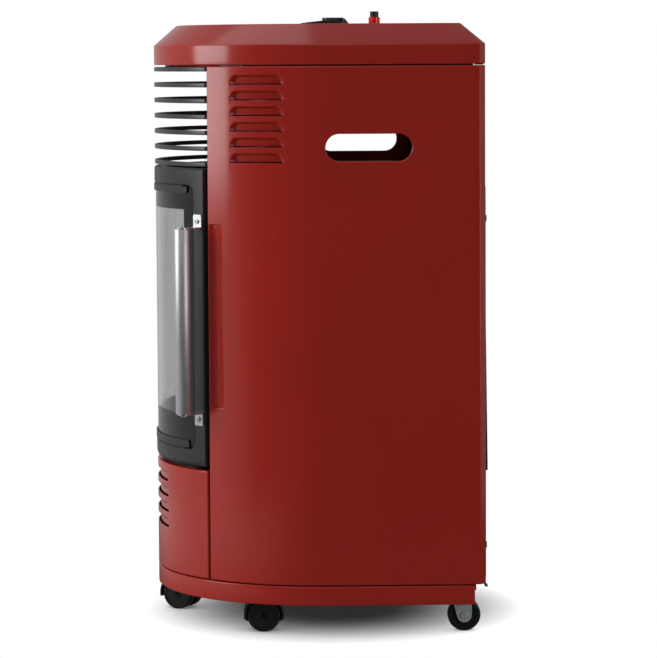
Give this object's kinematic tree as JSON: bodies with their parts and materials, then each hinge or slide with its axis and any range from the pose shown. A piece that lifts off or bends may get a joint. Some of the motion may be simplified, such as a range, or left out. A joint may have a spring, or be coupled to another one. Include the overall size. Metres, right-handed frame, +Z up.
{
  "type": "portable gas cabinet heater",
  "caption": "Wheeled gas cabinet heater with a bow-fronted red case, curved glass fire door, bar grille outlet, bottle bay and rear cover.",
  "frame": {"origin": "on the floor, under the middle of the whole object's bounding box", "axes": "+Z up; the bowed front with the fire door faces -Y; +X is the side with the door handle and the controls"},
  "size_m": [0.45, 0.427, 0.79],
  "materials": {
    "red_paint": "satin gloss",
    "black_paint": "satin",
    "grille_paint": "satin",
    "firebox_paint": "matte, heat resistant",
    "galvanised": "galvanised",
    "burner_steel": "bare",
    "handle_steel": "satin",
    "zinc": "zinc plated",
    "glass": "clear with a dark printed border",
    "brass": "machined",
    "cast_alloy": "die cast",
    "black_plastic": "moulded",
    "red_plastic": "moulded",
    "wheel_plastic": "moulded",
    "ceramic": "matte fibre"
  },
  "bodies": {
    "cabinet": {"base_tray": "red_paint", "side_panel_right": "red_paint", "side_panel_left": "red_paint", "hood": "red_paint", "lower_front_panel": "red_paint", "outlet_grille": "grille_paint", "rear_upper_panel": "galvanised", "cabinet_screws": "zinc", "heat_shield": "galvanised", "firebox_liner": "firebox_paint", "firebox_floor": "firebox_paint", "burner_tube": "burner_steel", "gas_injector": "brass", "gas_feed_pipe": "burner_steel", "ceramic_log_rear": "ceramic", "ceramic_log_front": "ceramic", "pilot_burner": "burner_steel", "thermocouple": "burner_steel", "spark_electrode": "ceramic", "gas_valve_body": "cast_alloy", "knob_bezel": "black_plastic", "igniter_body": "black_plastic", "igniter_collar": "red_plastic", "inlet_hose_tail": "brass", "hinge_brackets": "zinc", "hinge_pins": "zinc", "door_magnet": "black_plastic", "castor_stems": "zinc", "castor_nuts": "zinc", "rear_forks": "zinc", "rear_axles": "zinc"},
    "door": {"door_frame": "black_paint", "door_glass": "glass", "glass_strip_top": "black_paint", "glass_strip_bottom": "black_paint", "handle_tube": "handle_steel", "handle_bracket_top": "zinc", "handle_bracket_bottom": "zinc", "handle_screws": "zinc", "door_keeper": "zinc"},
    "valve_collar": {"push_collar": "brass"},
    "knob": {"control_knob": "black_plastic", "valve_spindle": "brass"},
    "igniter": {"igniter_button": "black_plastic"},
    "cover": {"rear_cover": "black_paint", "cover_studs": "black_plastic"},
    "castor_right": {"castor_housing_right": "black_plastic", "castor_axle_right": "zinc"},
    "castor_left": {"castor_housing_left": "black_plastic", "castor_axle_left": "zinc"},
    "castor_front": {"castor_housing_front": "black_plastic", "castor_axle_front": "zinc"},
    "wheel_outer_right": {"castor_wheel_outer_right": "wheel_plastic"},
    "wheel_inner_right": {"castor_wheel_inner_right": "wheel_plastic"},
    "wheel_outer_left": {"castor_wheel_outer_left": "wheel_plastic"},
    "wheel_inner_left": {"castor_wheel_inner_left": "wheel_plastic"},
    "wheel_outer_front": {"castor_wheel_outer_front": "wheel_plastic"},
    "wheel_inner_front": {"castor_wheel_inner_front": "wheel_plastic"},
    "wheel_rear_right": {"rear_wheel_right": "wheel_plastic"},
    "wheel_rear_left": {"rear_wheel_left": "wheel_plastic"}
  },
  "joints": [
    {"name": "door_hinge", "type": "hinge", "parent": "cabinet", "child": "door", "pos_m": [-0.15449, -0.14502, 0.4], "axis": [0, 0, -1], "range_deg": [0, 100]},
    {"name": "knob_push", "type": "slide", "parent": "cabinet", "child": "valve_collar", "axis": [0, 0, -1], "range_m": [0, 0.004], "stiffness_N_per_m": 2000, "springref_m": -0.002},
    {"name": "knob_turn", "type": "hinge", "parent": "valve_collar", "child": "knob", "pos_m": [0.105, 0.0212, 0.775], "axis": [0, 0, 1], "range_deg": [0, 210]},
    {"name": "igniter_push", "type": "slide", "parent": "cabinet", "child": "igniter", "axis": [0, 0, -1], "range_m": [0, 0.006], "stiffness_N_per_m": 800, "springref_m": -0.003},
    {"name": "rear_cover_off", "type": "slide", "parent": "cabinet", "child": "cover", "axis": [0, 1, 0], "range_m": [0, 0.2]},
    {"name": "castor_right_swivel", "type": "hinge", "parent": "cabinet", "child": "castor_right", "pos_m": [0.1655, -0.059, 0.05], "axis": [0, 0, 1], "continuous": true},
    {"name": "castor_left_swivel", "type": "hinge", "parent": "cabinet", "child": "castor_left", "pos_m": [-0.1655, -0.059, 0.05], "axis": [0, 0, 1], "continuous": true},
    {"name": "castor_front_swivel", "type": "hinge", "parent": "cabinet", "child": "castor_front", "pos_m": [0, -0.168, 0.05], "axis": [0, 0, 1], "continuous": true},
    {"name": "wheel_outer_right_spin", "type": "hinge", "parent": "castor_right", "child": "wheel_outer_right", "pos_m": [0.1763, -0.073, 0.021], "axis": [1, 0, 0], "continuous": true},
    {"name": "wheel_inner_right_spin", "type": "hinge", "parent": "castor_right", "child": "wheel_inner_right", "pos_m": [0.1547, -0.073, 0.021], "axis": [1, 0, 0], "continuous": true},
    {"name": "wheel_outer_left_spin", "type": "hinge", "parent": "castor_left", "child": "wheel_outer_left", "pos_m": [-0.1763, -0.073, 0.021], "axis": [1, 0, 0], "continuous": true},
    {"name": "wheel_inner_left_spin", "type": "hinge", "parent": "castor_left", "child": "wheel_inner_left", "pos_m": [-0.1547, -0.073, 0.021], "axis": [1, 0, 0], "continuous": true},
    {"name": "wheel_outer_front_spin", "type": "hinge", "parent": "castor_front", "child": "wheel_outer_front", "pos_m": [-0.00657, -0.18036, 0.021], "axis": [0.8829, -0.4695, 0], "continuous": true},
    {"name": "wheel_inner_front_spin", "type": "hinge", "parent": "castor_front", "child": "wheel_inner_front", "pos_m": [-0.00657, -0.18036, 0.021], "axis": [0.8829, -0.4695, 0], "continuous": true},
    {"name": "wheel_rear_right_spin", "type": "hinge", "parent": "cabinet", "child": "wheel_rear_right", "pos_m": [0.18, 0.183, 0.021], "axis": [1, 0, 0], "continuous": true},
    {"name": "wheel_rear_left_spin", "type": "hinge", "parent": "cabinet", "child": "wheel_rear_left", "pos_m": [-0.18, 0.183, 0.021], "axis": [1, 0, 0], "continuous": true}
  ]
}
